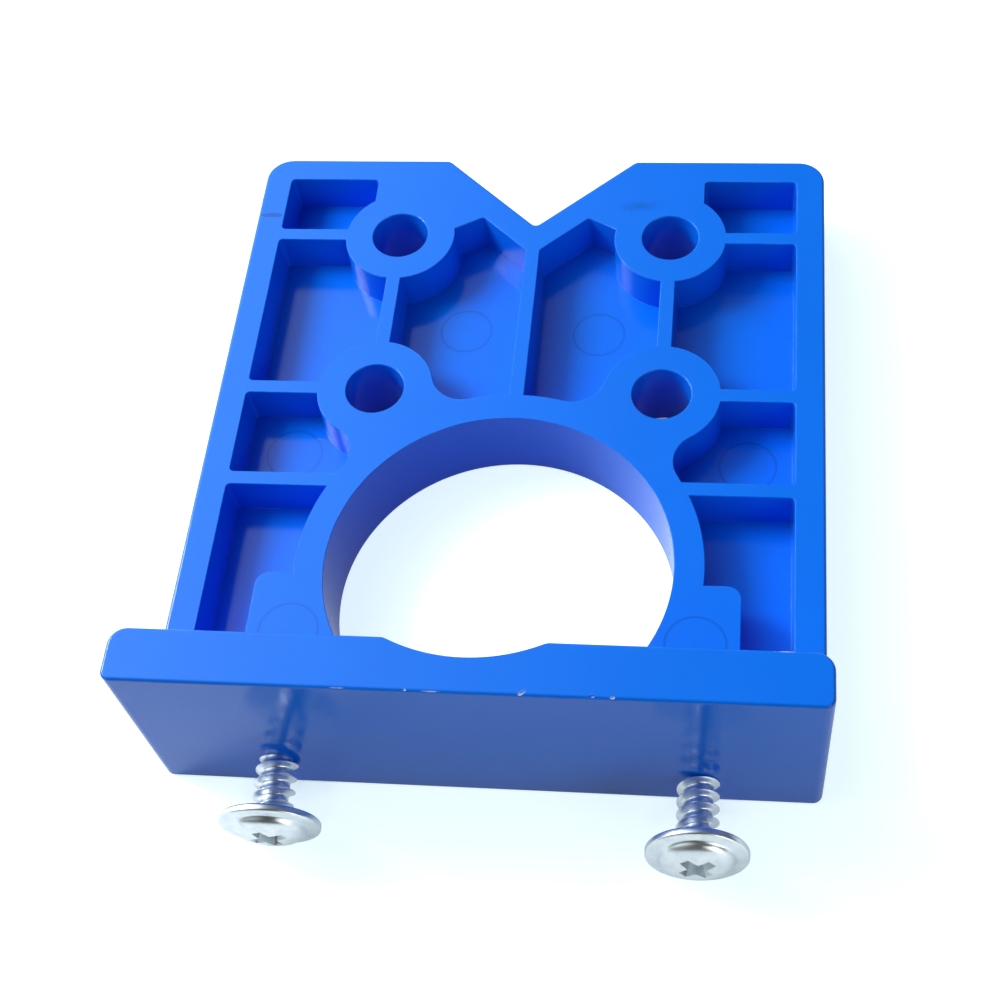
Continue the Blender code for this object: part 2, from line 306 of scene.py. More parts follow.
def fenceOutline(grow):
    front, back = fenceFront - grow, fenceFace + grow
    half = halfWidth + grow
    side = [
        *roundedCorner((0, front), (half, front), (half, back),
                       jig["fenceOuterCorner"] + grow, steps=8),
        *roundedCorner((half, front), (half, back), (0, back),
                       jig["fenceInnerCorner"] + grow, steps=10),
    ]
    return side + mirrored(side)


# Solids

def quarterTurns(steps, end=90.0):
    return [math.radians(end) * i / steps for i in range(steps + 1)]


def lipCurve(inner, lip, top, steps):
    # (radius or grow, height) points of a rounded lip that opens upwards to top
    sweep = quarterTurns(steps, lipSweep)
    return [(inner + lip * (1 - math.cos(a)), top - lipShare * lip + lip * math.sin(a)) for a in sweep]


def closeRings(build, rings):
    # caps on the lowest and highest ring of vertices, and walls between the rings
    build.faces.new(list(reversed(rings[0])))
    build.faces.new(rings[-1])
    for lower, upper in zip(rings, rings[1:]):
        for i, corner in enumerate(lower):
            j = (i + 1) % len(lower)
            build.faces.new((corner, lower[j], upper[j], upper[i]))


def addLoft(build, outline, levels, flip=False):
    # one closed solid through an outline drawn at several (grow, height) levels
    rings = []
    for grow, height in levels:
        points = outline(grow)
        if flip:
            points = mirrored(points)
        rings.append([build.verts.new((p.x, p.y, height)) for p in points])
    closeRings(build, rings)


def addTurned(build, profile, steps, matrix=Matrix.Identity(4)):
    # one turned solid through (radius, height) points, low end first
    rings = []
    for radius, height in profile:
        points = arc((0, 0), radius, 0, 2 * math.pi, steps)[:-1]
        rings.append([build.verts.new(matrix @ Vector((p.x, p.y, height))) for p in points])
    closeRings(build, rings)


def asObject(name, build):
    mesh = bpy.data.meshes.new(name)
    build.to_mesh(mesh)
    build.free()
    item = bpy.data.objects.new(name, mesh)
    bpy.context.scene.collection.objects.link(item)
    return item


def combined(target, steps):
    # the target after its cuts and joins, as one mesh, with the tools removed
    for tool, operation in steps:
        step = target.modifiers.new(tool.name, "BOOLEAN")
        step.object = tool
        step.operation = operation
        step.solver = "EXACT"
    bpy.context.view_layer.update()
    final = target.evaluated_get(bpy.context.evaluated_depsgraph_get())
    mesh = bpy.data.meshes.new_from_object(final)
    target.modifiers.clear()
    for tool, _ in steps:
        bpy.data.objects.remove(tool)
    target.data = mesh
    return target


def finishPiece(item, name, body, node, material, smooth):
    # millimetres to metres, smooth shading between close faces, and a place on the CAD frame
    item.name = item.data.name = name
    item.data.transform(Matrix.Scale(mm, 4))
    item.data.materials.clear()
    item.data.materials.append(material)
    item.data.shade_smooth()
    item.data.set_sharp_from_angle(angle=math.radians(smooth))
    weighted = item.modifiers.new("weightedNormals", "WEIGHTED_NORMAL")
    weighted.weight = 80
    weighted.keep_sharp = True
    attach(item, body)
    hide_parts(node)
    return item


def screwPlace(node, jointName):
    # the middle of the flange's underside, with Z out along the axis that the screw slides on
    joint = next(j for j in frame["joints"] if j["name"] == jointName)
    axis = Vector(joint["axis"]).normalized()
    turn = axis.to_track_quat("Z", "Y").to_matrix()
    local = [turn.transposed() @ (v.co / mm) for v in frame["nodes"][node].data.vertices]
    spans = [(min(p[i] for p in local), max(p[i] for p in local)) for i in range(3)]
    middle = Vector((sum(spans[0]) / 2, sum(spans[1]) / 2, spans[2][1] - headHeight))
    return Matrix.Translation(turn @ middle) @ turn.to_4x4()


def pocketTool():
    fillet = jig["floorFillet"]
    levels = [(-fillet * (1 - math.sin(a)), floorZ + fillet * (1 - math.cos(a))) for a in quarterTurns(2)]
    levels += lipCurve(jig["draft"], jig["lip"], plateTop, edgeSteps)
    levels.append((levels[-1][0], plateTop + overcut))
    build = bmesh.new()
    for outline in (cornerPocket, sidePocket, innerPocket, middlePocket, frontPocket):
        addLoft(build, outline, levels)
        addLoft(build, outline, levels, flip=True)
    return asObject("pocketTool", build)


def holeProfile(radius, lip):
    # a through hole with rounded rims
    low = [(r, -h) for r, h in lipCurve(radius, lip, 0.0, 4)]
    high = [(r, plateTop - h) for r, h in low]
    return [(low[-1][0], -overcut)] + low[::-1] + high + [(high[-1][0], plateTop + overcut)]


def guideHoleTool():
    build = bmesh.new()
    profile = holeProfile(jig["holeRadius"], jig["holeLip"])
    for row in (nearRow, farRow):
        for across in (-bossAcross, bossAcross):
            addTurned(build, profile, roundSteps, Matrix.Translation((across, row, 0)))
    return asObject("guideHoleTool", build)


def boreTool():
    radius = jig["boreRadius"]
    low = [(r, -h) for r, h in lipCurve(radius, jig["lip"], 0.0, 4)]
    taper = jig["scallopNarrowing"] / (fenceHeight - plateTop)
    profile = [(low[-1][0], -overcut)] + low[::-1] + [
        (radius, plateTop),
        (radius - jig["scallopNarrowing"] - taper * overcut, fenceHeight + overcut),
    ]
    build = bmesh.new()
    addTurned(build, profile, boreSteps)
    return asObject("boreTool", build)


def ringLipTool():
    # rounds the bore's top rim, but not where the bore runs on up the fence
    radius, lip = jig["boreRadius"], jig["lip"]
    pastLip = 0.4  # how far the tool reaches into the bore
    overlap = 0.02  # keeps the tool's lower end off the bore's wall
    inside, above = radius - pastLip, plateTop + overcut / 2
    section = [(inside, plateTop - lip)] + lipCurve(radius - overlap, lip, plateTop, edgeSteps)
    section += [(section[-1][0], above), (inside, above)]
    start = math.asin(fenceFace / radius)
    build = bmesh.new()
    rings = []
    for i in range(rimSteps + 1):
        turn = Matrix.Rotation(start + (math.pi - 2 * start) * i / rimSteps, 3, "Z")
        rings.append([build.verts.new(turn @ Vector((r, 0, z))) for r, z in section])
    for first, second in zip(rings, rings[1:]):
        for k in range(len(section)):
            m = (k + 1) % len(section)
            build.faces.new((first[k], second[k], second[m], first[m]))
    build.faces.new(rings[0])
    build.faces.new(list(reversed(rings[-1])))
    bmesh.ops.recalc_face_normals(build, faces=build.faces)
    return asObject("ringLipTool", build)


def roundedSlab(name, outline, height):
    edge = jig["edge"]
    turns = quarterTurns(edgeSteps)
    levels = [(-edge * (1 - math.sin(a)), edge * (1 - math.cos(a))) for a in turns]
    levels += [(-edge * (1 - math.cos(a)), height - edge * (1 - math.sin(a))) for a in turns]
    build = bmesh.new()
    addLoft(build, outline, levels)
    return asObject(name, build)


def screwHoleTool(places):
    # follows each screw's lean, a little above its axis because the screw lies low in its hole
    radius, depth = jig["screwHoleRadius"], jig["screwHoleDepth"]
    profile = [(jig["screwHoleTip"], -depth), (radius, jig["screwHoleTaper"] - depth)]
    profile += [(radius + wider, height) for wider, height in jig["screwHoleMouth"]]
    profile.append((profile[-1][0], 2 * overcut))
    build = bmesh.new()
    for place in places:
        axis = place.to_3x3() @ Vector((0, 0, 1))
        back = (place.translation.y - (fenceFront + boreY)) / -axis.y
        mouth = place.translation - axis * back + Vector((0, 0, jig["screwSag"]))
        turned = Matrix.Translation(mouth) @ place.to_3x3().to_4x4()
        addTurned(build, profile, roundSteps, Matrix.Translation((0, -boreY, 0)) @ turned)
    return asObject("screwHoleTool", build)


def addGroove(build, place, top, radius, depth, groove, start=0.0, end=360.0):
    # a V-shaped groove along a circle or along part of one
    proud = 0.3  # how far the tool stands out of the face
    inner, outer, above = radius - groove / 2, radius + groove / 2, top + proud
    section = [(inner, above), (inner, top), (radius, top - depth), (outer, top), (outer, above)]
    closed = end - start >= 360
    rings = []
    for i in range(roundSteps if closed else roundSteps + 1):
        a = math.radians(start + (end - start) * i / roundSteps)
        points = [(place[0] + r * math.cos(a), place[1] + r * math.sin(a), z) for r, z in section]
        rings.append([build.verts.new(point) for point in points])
    for i in range(roundSteps):
        first, second = rings[i], rings[(i + 1) % len(rings)]
        for k in range(len(section)):
            m = (k + 1) % len(section)
            build.faces.new((first[k], first[m], second[m], second[k]))
    if not closed:
        build.faces.new(rings[0])
        build.faces.new(list(reversed(rings[-1])))


def pinMarkTool():
    # the shallow round witness lines that the ejector pins leave
    build = bmesh.new()
    for x, y, level, radius in pinMarks.values():
        addGroove(build, (x, y), markLevels[level], radius, jig["pinMarkDepth"], jig["pinMarkGroove"])
    corner = cornerMark
    addGroove(build, corner["place"], plateTop, corner["radius"], corner["depth"], corner["groove"],
              corner["start"], corner["end"])
    bmesh.ops.recalc_face_normals(build, faces=build.faces)
    return asObject("pinMarkTool", build)


def placesOfNicksAndHighlights():
    # middle, turn and half sizes of each nick and painted highlight, in millimetres from the bore's axis
    for side, across, inward, turn, length, width in nicksAndEdgeHighlights.values():
        y = fenceFront + inward if side == "front" else fenceFace - inward
        place = Vector((across, y, fenceHeight - jig["nickSink"]))
        yield place, math.radians(turn), Vector((length, width, jig["nickHeight"]))


def nickTool():
    build = bmesh.new()
    for place, turn, reach in placesOfNicksAndHighlights():
        size = Matrix.Diagonal((reach.x, reach.y, reach.z * jig["nickBite"], 1))
        matrix = Matrix.Translation(place) @ Matrix.Rotation(turn, 4, "Z") @ size
        bmesh.ops.create_icosphere(build, subdivisions=2, radius=1, matrix=matrix)
    return asObject("nickTool", build)


def makeJigBody(material, places):
    plate = roundedSlab("plate", plateOutline, plateTop)
    plate = combined(plate, [(pocketTool(), "DIFFERENCE"), (guideHoleTool(), "DIFFERENCE")])
    plate = combined(plate, [
        (roundedSlab("fence", fenceOutline, fenceHeight), "UNION"),
        (boreTool(), "DIFFERENCE"),
        (ringLipTool(), "DIFFERENCE"),
        (screwHoleTool(places), "DIFFERENCE"),
        (pinMarkTool(), "DIFFERENCE"),
        (nickTool(), "DIFFERENCE"),
    ])
    plate.data.transform(Matrix.Translation((0, boreY, 0)))
    return finishPiece(plate, "jigBody", "jig", "jig_body", material, jig["smoothBelow"])


# Screw: washer head with a cross recess, and a coarse thread with a pointed end
screw = dict(
    length=13.0, threadRadius=2.12, coreRadius=1.5, pitch=1.4, stepsPerTurn=48,
    point=3.6, tipRadius=0.12,
    threadFade=1.5,  # how much sooner the thread is full than the core, along the point
    turnsInHead=1.5,  # how much of the thread lies hidden in the head
    flangeRadius=5.05, flangeThickness=0.8, flangeEdge=0.24,
    undersideRings=(0.4, 2.6),  # radii of the vertices on the flange's flat underside
    domeRadius=3.7, domeHeight=1.25, domeCrown=0.3,
    domeFoot=((0.25, 0.02), (0.08, 0.1)),  # (wider than the dome, above the flange)
    domeFullness=0.7,  # 1 is a half ellipse, less is boxier
    recessWidth=3.9, recessWing=1.05, recessDepth=2.0, recessRoot=2.0, recessRootWing=0.8,
    recessCorner=1.25,  # how far the cross's inner corners stand out, in half wings
    leftTurned=25, rightTurned=40,  # how each cross lies, in degrees
    smoothBelow=40,
)
headHeight = screw["flangeThickness"] + screw["domeHeight"]

# the thread's ridge over one pitch, as (share of the pitch, share of the height)
ridge = [
    (0.0, 0.0), (0.16, 0.0), (0.23, 0.05), (0.29, 0.22), (0.38, 0.62), (0.44, 0.92), (0.475, 1.0),
    (0.525, 1.0), (0.56, 0.92), (0.62, 0.62), (0.71, 0.22), (0.77, 0.05), (0.84, 0.0),
]


def threadedShank():
    # a helical strip from inside the head to the point, capped at both ends
    steps, pitch = screw["stepsPerTurn"], screw["pitch"]
    start = screw["turnsInHead"] * pitch
    turns = math.ceil((screw["length"] + start) / pitch) - 1
    rows = turns * len(ridge) + 1
    build = bmesh.new()
    grid = []
    for row in range(rows):
        share, bump = ridge[row % len(ridge)]
        top = start - pitch * (row // len(ridge) + share)
        line = []
        for i in range(steps):
            height = top - pitch * i / steps
            tip = min(1.0, max(0.0, (height + screw["length"]) / screw["point"]))
            runOut = min(1.0, max(0.0, -height / pitch))
            radius = screw["tipRadius"] + (screw["coreRadius"] - screw["tipRadius"]) * tip
            full = min(1.0, screw["threadFade"] * tip)
            radius += (screw["threadRadius"] - screw["coreRadius"]) * bump * runOut * full
            a = -2 * math.pi * i / steps
            height = max(height, -screw["length"])
            line.append(build.verts.new((radius * math.cos(a), radius * math.sin(a), height)))
        grid.append(line)
    for row in range(rows - 1):
        line, below = grid[row], grid[row + 1]
        for i in range(steps - 1):
            build.faces.new((line[i], line[i + 1], below[i + 1], below[i]))
        turned = row + len(ridge)  # the row that this one runs into after a turn
        if turned + 1 < rows:
            build.faces.new((line[-1], grid[turned][0], grid[turned + 1][0], below[-1]))
    edges = [edge for edge in build.edges if edge.is_boundary]
    bmesh.ops.holes_fill(build, edges=edges, sides=0)
    bmesh.ops.triangulate(build, faces=[face for face in build.faces if len(face.verts) > 4])
    bmesh.ops.recalc_face_normals(build, faces=build.faces)
    return asObject("threadedShank", build)


def headSolid():
    # the flange's underside and rounded rim, a fillet at the dome's foot, then the dome
    edge, thick = screw["flangeEdge"], screw["flangeThickness"]
    inner = screw["flangeRadius"] - edge
    profile = [(radius, 0.0) for radius in screw["undersideRings"]]
    turns = quarterTurns(edgeSteps)
    profile += [(inner + edge * math.sin(a), edge - edge * math.cos(a)) for a in turns]
    profile += [(inner + edge * math.cos(a), thick - edge + edge * math.sin(a)) for a in turns]
    dome = screw["domeRadius"]
    profile += [(dome + wider, thick + height) for wider, height in screw["domeFoot"]]
    foot = screw["domeFoot"][-1][1]
    rise = screw["domeHeight"] - foot
    for a in quarterTurns(domeSteps)[1:-1]:
        profile.append((dome * math.cos(a) ** screw["domeFullness"], thick + foot + rise * math.sin(a)))
    profile.append((screw["domeCrown"], headHeight))
    build = bmesh.new()
    addTurned(build, profile, headSteps)
    return asObject("head", build)


def recessTool():
    # a cross that narrows towards its bottom
    def cross(reach, wing):
        inner = wing * screw["recessCorner"]
        quarter = [(reach, -wing), (reach, wing), (inner, inner)]
        turns = [Matrix.Rotation(math.pi / 2 * i, 2) for i in range(4)]
        return [turn @ Vector(corner) for turn in turns for corner in quarter]

    low = cross(screw["recessRoot"] / 2, screw["recessRootWing"] / 2)
    full = cross(screw["recessWidth"] / 2, screw["recessWing"] / 2)
    levels = [(low, headHeight - screw["recessDepth"]), (full, headHeight), (full, headHeight + overcut)]
    build = bmesh.new()
    rings = []
    for outline, height in levels:
        rings.append([build.verts.new((p.x, p.y, height)) for p in outline])
    closeRings(build, rings)
    return asObject("recess", build)


def makeScrew(name, body, node, place, material, turned):
    item = combined(headSolid(), [(threadedShank(), "UNION"), (recessTool(), "DIFFERENCE")])
    item.data.transform(place @ Matrix.Rotation(math.radians(turned), 4, "Z"))
    return finishPiece(item, name, body, node, material, screw["smoothBelow"])


# Shader helpers and groups

def newGroup(name, inputs, outputs):
    group = bpy.data.node_groups.new(name, "ShaderNodeTree")
    for socketName, kind, value in inputs:
        socket = group.interface.new_socket(name=socketName, in_out="INPUT", socket_type=kind)
        if value is not None:
            socket.default_value = value
    for socketName, kind in outputs:
        group.interface.new_socket(name=socketName, in_out="OUTPUT", socket_type=kind)
    return group, group.nodes.new("NodeGroupInput"), group.nodes.new("NodeGroupOutput")


def plug(tree, socket, value):
    # another node's output is linked to the socket, and anything else is set on it
    if isinstance(value, bpy.types.NodeSocket):
        tree.links.new(value, socket)
    else:
        socket.default_value = value


def addNode(tree, kind, **settings):
    made = tree.nodes.new(kind)
    for key, value in settings.items():
        if key in made.inputs:
            plug(tree, made.inputs[key], value)
        else:
            setattr(made, key, value)
    return made


def maths(tree, operation, *terms, clamp=False):
    made = addNode(tree, "ShaderNodeMath", operation=operation, use_clamp=clamp)
    for socket, term in zip(made.inputs, terms):
        plug(tree, socket, term)
    return made.outputs[0]


def mapped(tree, value, low, high, toLow=0.0, toHigh=1.0, smooth=False):
    # a value's range from low to high, stretched to another range
    made = addNode(tree, "ShaderNodeMapRange", Value=value)
    made.interpolation_type = "SMOOTHSTEP" if smooth else "LINEAR"
    for key, limit in (("From Min", low), ("From Max", high), ("To Min", toLow), ("To Max", toHigh)):
        plug(tree, made.inputs[key], limit)
    return made.outputs["Result"]


def mixedColor(tree, share, under, over):
    made = addNode(tree, "ShaderNodeMix", data_type="RGBA", Factor=share, A=under, B=over)
    return made.outputs["Result"]


def newMaterial(name):
    material = bpy.data.materials.new(name)
    material.use_nodes = True
    tree = material.node_tree
    return material, tree, tree.nodes["Principled BSDF"]


def makeMouldedSkinGroup():
    # slow changes of tone, fine grain for the bump, and a rub mask that makes the corners paler in
    # patches: wear, and a painted edge highlight
    group, start, end = newGroup(
        "mouldedSkin",
        [("Color", "NodeSocketColor", (0, 0, 1, 1)), ("Pale Color", "NodeSocketColor", (0.3, 0.5, 1, 1)),
         ("Tone", "NodeSocketFloat", 0.1), ("Rub", "NodeSocketFloat", 0.3)],
        [("Color", "NodeSocketColor"), ("Roughness Change", "NodeSocketFloat"),
         ("Height", "NodeSocketFloat")],
    )
    place = addNode(group, "ShaderNodeTexCoord").outputs["Object"]
    cloud = addNode(group, "ShaderNodeTexNoise", Vector=place, Scale=90.0, Detail=3.0, Roughness=0.6)
    grain = addNode(group, "ShaderNodeTexNoise", Vector=place, Scale=1400.0, Detail=3.0, Roughness=0.7)
    scratch = addNode(group, "ShaderNodeTexNoise", Vector=place, Scale=260.0, Detail=5.0,
                      Roughness=0.75, Distortion=0.6)
    swing = mapped(group, cloud.outputs["Fac"], low=0.0, high=1.0, toLow=-1.0)
    tone = maths(group, "MULTIPLY_ADD", swing, start.outputs["Tone"], 1.0)
    toned = addNode(group, "ShaderNodeVectorMath", operation="SCALE", Vector=start.outputs["Color"],
                    Scale=tone)
    # paler and rougher where the surface turns a corner, and there only in patches: wear, and a painted
    # edge highlight
    rounded = addNode(group, "ShaderNodeBevel", samples=4, Radius=0.0003)
    facing = addNode(group, "ShaderNodeVectorMath", operation="DOT_PRODUCT")
    plug(group, facing.inputs[0], addNode(group, "ShaderNodeNewGeometry").outputs["Normal"])
    plug(group, facing.inputs[1], rounded.outputs["Normal"])
    corner = mapped(group, facing.outputs["Value"], low=0.995, high=0.9)
    patches = mapped(group, scratch.outputs["Fac"], low=0.45, high=0.7)
    rubbedAndSheen = maths(group, "MULTIPLY", corner, patches)
    rubAndSheen = maths(group, "MULTIPLY", rubbedAndSheen, start.outputs["Rub"], clamp=True)
    plug(group, end.inputs["Color"],
         mixedColor(group, rubAndSheen, toned.outputs["Vector"], start.outputs["Pale Color"]))
    scratchShare, grainShare = 0.12, 0.25
    plug(group, end.inputs["Roughness Change"],
         maths(group, "MULTIPLY_ADD", scratch.outputs["Fac"], scratchShare, rubAndSheen))
    plug(group, end.inputs["Height"],
         maths(group, "MULTIPLY_ADD", grain.outputs["Fac"], grainShare, cloud.outputs["Fac"]))
    return group


def makeCircleMaskGroup():
    # one along a circle that lies flat, fading to nothing at Width from it
    group, start, end = newGroup(
        "circleMask",
        [("Place", "NodeSocketVector", None), ("Radius", "NodeSocketFloat", 0.003),
         ("Width", "NodeSocketFloat", 0.0002)],
        [("Mask", "NodeSocketFloat")],
    )
    moved = addNode(group, "ShaderNodeVectorMath", operation="SUBTRACT")
    plug(group, moved.inputs[0], addNode(group, "ShaderNodeTexCoord").outputs["Object"])
    plug(group, moved.inputs[1], start.outputs["Place"])
    parts = addNode(group, "ShaderNodeSeparateXYZ", Vector=moved.outputs["Vector"])
    flat = addNode(group, "ShaderNodeCombineXYZ", X=parts.outputs["X"], Y=parts.outputs["Y"])
    out = addNode(group, "ShaderNodeVectorMath", operation="LENGTH", Vector=flat.outputs[0])
    past = maths(group, "SUBTRACT", out.outputs["Value"], start.outputs["Radius"])
    section = addNode(group, "ShaderNodeCombineXYZ", X=past, Y=parts.outputs["Z"])
    far = addNode(group, "ShaderNodeVectorMath", operation="LENGTH", Vector=section.outputs[0])
    mask = mapped(group, far.outputs["Value"], low=start.outputs["Width"], high=0.0, smooth=True)
    plug(group, end.inputs["Mask"], mask)
    return group


def makeSpotMaskGroup():
    # one inside an ellipsoid with a ragged edge, fading to nothing at its skin
    group, start, end = newGroup(
        "spotMask",
        [("Place", "NodeSocketVector", None), ("Turn", "NodeSocketVector", None),
         ("Reach", "NodeSocketVector", (1, 1, 1)), ("Fade", "NodeSocketFloat", 0.5)],
        [("Mask", "NodeSocketFloat")],
    )
    place = addNode(group, "ShaderNodeTexCoord").outputs["Object"]
    moved = addNode(group, "ShaderNodeMapping", vector_type="TEXTURE", Vector=place,
                    Location=start.outputs["Place"], Rotation=start.outputs["Turn"],
                    Scale=start.outputs["Reach"])
    ragged = addNode(group, "ShaderNodeTexNoise", Vector=place, Scale=1500.0, Detail=2.0)
    far = addNode(group, "ShaderNodeVectorMath", operation="LENGTH", Vector=moved.outputs["Vector"])
    uneven = maths(group, "ADD", far.outputs["Value"], ragged.outputs["Fac"])
    mask = mapped(group, uneven, low=1.5, high=start.outputs["Fade"], smooth=True)
    plug(group, end.inputs["Mask"], mask)
    return group


bluePlastic = dict(
    color=(0.0018, 0.156, 0.80, 1), pale=(0.30, 0.52, 0.95, 1), dark=(0.001, 0.092, 0.50, 1),
    # the rub share makes rounded edges paler and rougher in patches: wear, and a painted edge highlight
    tone=0.06, rubAndSheen=0.15, roughness=0.08, specular=0.32, ior=1.52, bump=0.02, bumpDistance=0.0004,
    # pale over the nicks, and painted highlights along the fence's top edges
    nickAndSheenColor=(0.80, 0.92, 1.0, 1), nickSpread=1.15, nickFade=0.9, nickRoughness=0.3,
    smudgePlace=(12.3, 49.0), smudgeReach=(3.4, 1.15, 0.6), smudgeTurn=6.0, smudgeDepth=0.6,
    pinMarkWidth=0.22, pinMarkDepth=0.65,
    # painted shade: the dent on the left rail is darkened over a spot
    dentShadePlace=(-32.05, 47.12), dentShadeReach=(1.75, 0.38, 0.6), dentShadeFade=1.15, dentShadeDepth=1.0,
)


def placed(tree, group, point):
    # a mask at a point in millimetres from the bore's axis
    mask = addNode(tree, "ShaderNodeGroup", node_tree=group)
    plug(tree, mask.inputs["Place"], (Vector(point) + Vector((0, boreY, 0))) * mm)
    return mask


def greatest(tree, masks):
    highest = masks[0].outputs[0]
    for mask in masks[1:]:
        highest = maths(tree, "MAXIMUM", highest, mask.outputs[0])
    return highest


def colorOver(tree, under, color, mask, strength):
    return mixedColor(tree, maths(tree, "MULTIPLY", mask, strength), under, color)


def makeBluePlastic(skin, spotMask, circleMask):
    plastic = bluePlastic
    material, tree, shader = newMaterial("bluePlastic")
    surface = addNode(tree, "ShaderNodeGroup", node_tree=skin, Color=plastic["color"],
                      Tone=plastic["tone"], Rub=plastic["rubAndSheen"])
    plug(tree, surface.inputs["Pale Color"], plastic["pale"])

    circles = []
    for x, y, level, radius in pinMarks.values():
        circle = placed(tree, circleMask, (x, y, markLevels[level]))
        plug(tree, circle.inputs["Radius"], radius * mm)
        plug(tree, circle.inputs["Width"], plastic["pinMarkWidth"] * mm)
        circles.append(circle)
    spots = []
    for point, turn, reach in placesOfNicksAndHighlights():
        spot = placed(tree, spotMask, point)
        plug(tree, spot.inputs["Turn"], (0, 0, turn))
        plug(tree, spot.inputs["Reach"], reach * plastic["nickSpread"] * mm)
        plug(tree, spot.inputs["Fade"], plastic["nickFade"])
        spots.append(spot)
    smudge = placed(tree, spotMask, (*plastic["smudgePlace"], plateTop))
    plug(tree, smudge.inputs["Turn"], (0, 0, math.radians(plastic["smudgeTurn"])))
    plug(tree, smudge.inputs["Reach"], Vector(plastic["smudgeReach"]) * mm)
    # painted shade over the dent on the left rail
    dentShade = placed(tree, spotMask, (*plastic["dentShadePlace"], plateTop))
    plug(tree, dentShade.inputs["Reach"], Vector(plastic["dentShadeReach"]) * mm)
    plug(tree, dentShade.inputs["Fade"], plastic["dentShadeFade"])

    circled = greatest(tree, circles)
    paleNicksAndHighlights = greatest(tree, spots)
    color = colorOver(tree, surface.outputs["Color"], plastic["dark"], circled, plastic["pinMarkDepth"])
    color = colorOver(tree, color, plastic["dark"], smudge.outputs[0], plastic["smudgeDepth"])
    color = colorOver(tree, color, plastic["dark"], dentShade.outputs[0], plastic["dentShadeDepth"])
    # pale nicks, and painted highlights along the fence's top edges
    color = colorOver(tree, color, plastic["nickAndSheenColor"], paleNicksAndHighlights, 1.0)
    plug(tree, shader.inputs["Base Color"], color)
    roughness = maths(tree, "ADD", surface.outputs["Roughness Change"], plastic["roughness"])
    roughness = maths(tree, "MULTIPLY_ADD", paleNicksAndHighlights, plastic["nickRoughness"], roughness)
    plug(tree, shader.inputs["Roughness"], roughness)
    bump = addNode(tree, "ShaderNodeBump", Strength=plastic["bump"], Distance=plastic["bumpDistance"],
                   Height=surface.outputs["Height"])
    plug(tree, shader.inputs["Normal"], bump.outputs["Normal"])
    plug(tree, shader.inputs["IOR"], plastic["ior"])
    plug(tree, shader.inputs["Specular IOR Level"], plastic["specular"])
    return material


zincPlate = dict(
    color=(0.94, 0.98, 1.0, 1), dull=(0.72, 0.80, 0.86, 1),
    roughness=0.25, stainRoughness=0.14, bump=0.03, bumpDistance=0.0002,
)


def makeZincPlate():
    plate = zincPlate
    material, tree, shader = newMaterial("zincPlate")
    place = addNode(tree, "ShaderNodeTexCoord").outputs["Object"]
    stain = addNode(tree, "ShaderNodeTexNoise", Vector=place, Scale=700.0, Detail=4.0, Roughness=0.65)
    fine = addNode(tree, "ShaderNodeTexNoise", Vector=place, Scale=3000.0, Detail=2.0)
    share = mapped(tree, stain.outputs["Fac"], low=0.4, high=0.75)
    plug(tree, shader.inputs["Base Color"], mixedColor(tree, share, plate["color"], plate["dull"]))
    plug(tree, shader.inputs["Roughness"],
         maths(tree, "MULTIPLY_ADD", stain.outputs["Fac"], plate["stainRoughness"], plate["roughness"]))
    bump = addNode(tree, "ShaderNodeBump", Strength=plate["bump"], Distance=plate["bumpDistance"],
                   Height=fine.outputs["Fac"])
    plug(tree, shader.inputs["Normal"], bump.outputs["Normal"])
    plug(tree, shader.inputs["Metallic"], 1.0)
    return material


print("making materials")
skin = makeMouldedSkinGroup()
blue = makeBluePlastic(skin, makeSpotMaskGroup(), makeCircleMaskGroup())
zinc = makeZincPlate()

print("building the screws")
leftPlace = screwPlace("left_screw", "left_screw_travel")
rightPlace = screwPlace("right_screw", "right_screw_travel")
makeScrew("leftScrew", "left_adjuster", "left_screw", leftPlace, zinc,
          screw["leftTurned"])
makeScrew("rightScrew", "right_adjuster", "right_screw", rightPlace, zinc,
          screw["rightTurned"])

print("building the jig body")
makeJigBody(blue, (leftPlace, rightPlace))

# Floor, world and lamps
studio = dict(
    floorSize=40.0, floorColor=(0.55, 0.57, 0.59, 1), floorRoughness=0.6,
    floorGap=0.00005,  # between the floor and the jig's underside
    glowColor=(0.82, 0.96, 1.0, 1), floorGlow=0.88, mirroredGlow=0.36,
    # the floor's glow fades with ambient occlusion: a painted shade in hollows such as the guide holes
    hollowReach=0.008, hollowDark=0.08, hollowClear=0.35,
    skyColor=(0.89, 0.98, 1.0, 1), skyDim=0.17, skyBright=3.4, skyFront=0.1, skyLow=0.25,
    # where the sky passes from one level to the next, as parts of a direction
    windowEdge=(0.06, -0.65), frontEdge=(-0.6, 0.5), lowEdge=(0.0, 0.6),
    keyPower=0.74, keySize=0.11, keyAt=(-0.22, 0.07, 0.20),
    fillPower=0.28, fillSize=0.2, fillAt=(0.24, -0.25, 0.12),
)


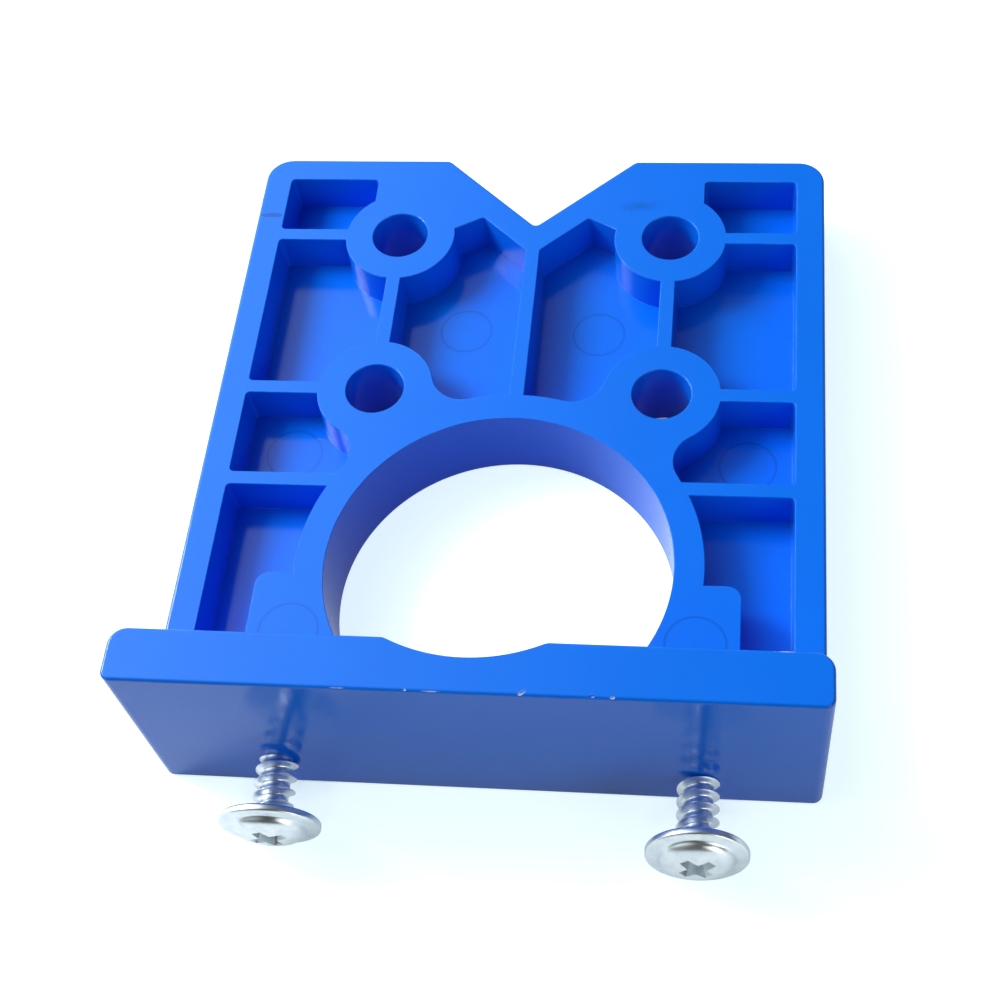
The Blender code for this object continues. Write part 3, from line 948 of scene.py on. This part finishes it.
def makeFloor():
    build = bmesh.new()
    half = studio["floorSize"] / 2
    corners = ((-half, -half), (half, -half), (half, half), (-half, half))
    build.faces.new([build.verts.new((x, y, 0)) for x, y in corners])
    floor = asObject("floor", build)
    floor.location.z = cadLow.z - studio["floorGap"]
    material, tree, shader = newMaterial("paleFloor")
    plug(tree, shader.inputs["Base Color"], studio["floorColor"])
    plug(tree, shader.inputs["Roughness"], studio["floorRoughness"])
    # white to the camera and paler in mirrors, but not down inside the guide holes: the glow fades where
    # ambient occlusion is deep, a painted shade under the part
    rays = addNode(tree, "ShaderNodeLightPath")
    inMirrors = maths(tree, "MULTIPLY", rays.outputs["Is Glossy Ray"], studio["mirroredGlow"])
    seen = maths(tree, "MULTIPLY_ADD", rays.outputs["Is Camera Ray"], studio["floorGlow"], inMirrors)
    hollowShade = addNode(tree, "ShaderNodeAmbientOcclusion", samples=8, Distance=studio["hollowReach"])
    clear = mapped(tree, hollowShade.outputs["AO"], studio["hollowDark"], studio["hollowClear"], smooth=True)
    plug(tree, shader.inputs["Emission Color"], studio["glowColor"])
    plug(tree, shader.inputs["Emission Strength"], maths(tree, "MULTIPLY", seen, clear))
    floor.data.materials.append(material)


def makeWorld():
    # a large bright window on the left, dim in front, low down and on the right; white to the camera
    world = bpy.data.worlds.new("studio")
    bpy.context.scene.world = world
    world.use_nodes = True
    tree = world.node_tree
    sky = tree.nodes["Background"]
    way = addNode(tree, "ShaderNodeTexCoord")
    parts = addNode(tree, "ShaderNodeSeparateXYZ", Vector=way.outputs["Generated"])
    across = mapped(tree, parts.outputs["X"], *studio["windowEdge"],
                    studio["skyDim"], studio["skyBright"], smooth=True)
    along = mapped(tree, parts.outputs["Y"], *studio["frontEdge"], studio["skyFront"], smooth=True)
    upward = mapped(tree, parts.outputs["Z"], *studio["lowEdge"], studio["skyLow"], smooth=True)
    glow = maths(tree, "MULTIPLY", maths(tree, "MULTIPLY", across, along), upward)
    toCamera = addNode(tree, "ShaderNodeLightPath").outputs["Is Camera Ray"]
    plug(tree, sky.inputs["Color"], mixedColor(tree, toCamera, studio["skyColor"], (1, 1, 1, 1)))
    plug(tree, sky.inputs["Strength"], mapped(tree, toCamera, low=0.0, high=1.0, toLow=glow))


def makeLamp(name, power, size, place):
    lamp = bpy.data.lights.new(name, "AREA")
    lamp.energy = power
    lamp.size = size
    item = bpy.data.objects.new(name, lamp)
    item.location = place
    item.rotation_euler = (-Vector(place)).to_track_quat("-Z", "Y").to_euler()
    item.visible_camera = False
    bpy.context.scene.collection.objects.link(item)


# Camera, fitted to the photograph: millimetres from the bore's axis and the ribs' tops
view = dict(
    place=(24.842, -83.345, 149.931), right=(0.99392064, 0.07840904, -0.07729028),
    forward=(-0.10710091, 0.52585977, -0.84380145), pixels=1001, focal=1668.1, centre=(560.56, 483.0),
    sensor=36, nearest=0.005,
)


def makeCamera():
    lens = bpy.data.cameras.new("camera")
    lens.sensor_width = view["sensor"]
    lens.lens = view["focal"] / view["pixels"] * lens.sensor_width
    lens.shift_x = (view["pixels"] / 2 - view["centre"][0]) / view["pixels"]
    lens.shift_y = (view["centre"][1] - view["pixels"] / 2) / view["pixels"]
    lens.clip_start = view["nearest"]
    camera = bpy.data.objects.new("camera", lens)
    right, forward = Vector(view["right"]), Vector(view["forward"])
    up = right.cross(forward)
    turn = Matrix((right, up, -forward)).transposed()
    place = (Vector(view["place"]) + Vector((0, boreY, plateTop))) * mm
    camera.matrix_world = Matrix.Translation(place) @ turn.to_4x4()
    bpy.context.scene.collection.objects.link(camera)
    bpy.context.scene.camera = camera


print("setting the studio")
makeFloor()
makeWorld()
makeLamp("keyLamp", studio["keyPower"], studio["keySize"], studio["keyAt"])
makeLamp("fillLamp", studio["fillPower"], studio["fillSize"], studio["fillAt"])
makeCamera()
bpy.context.scene.view_settings.view_transform = "Standard"
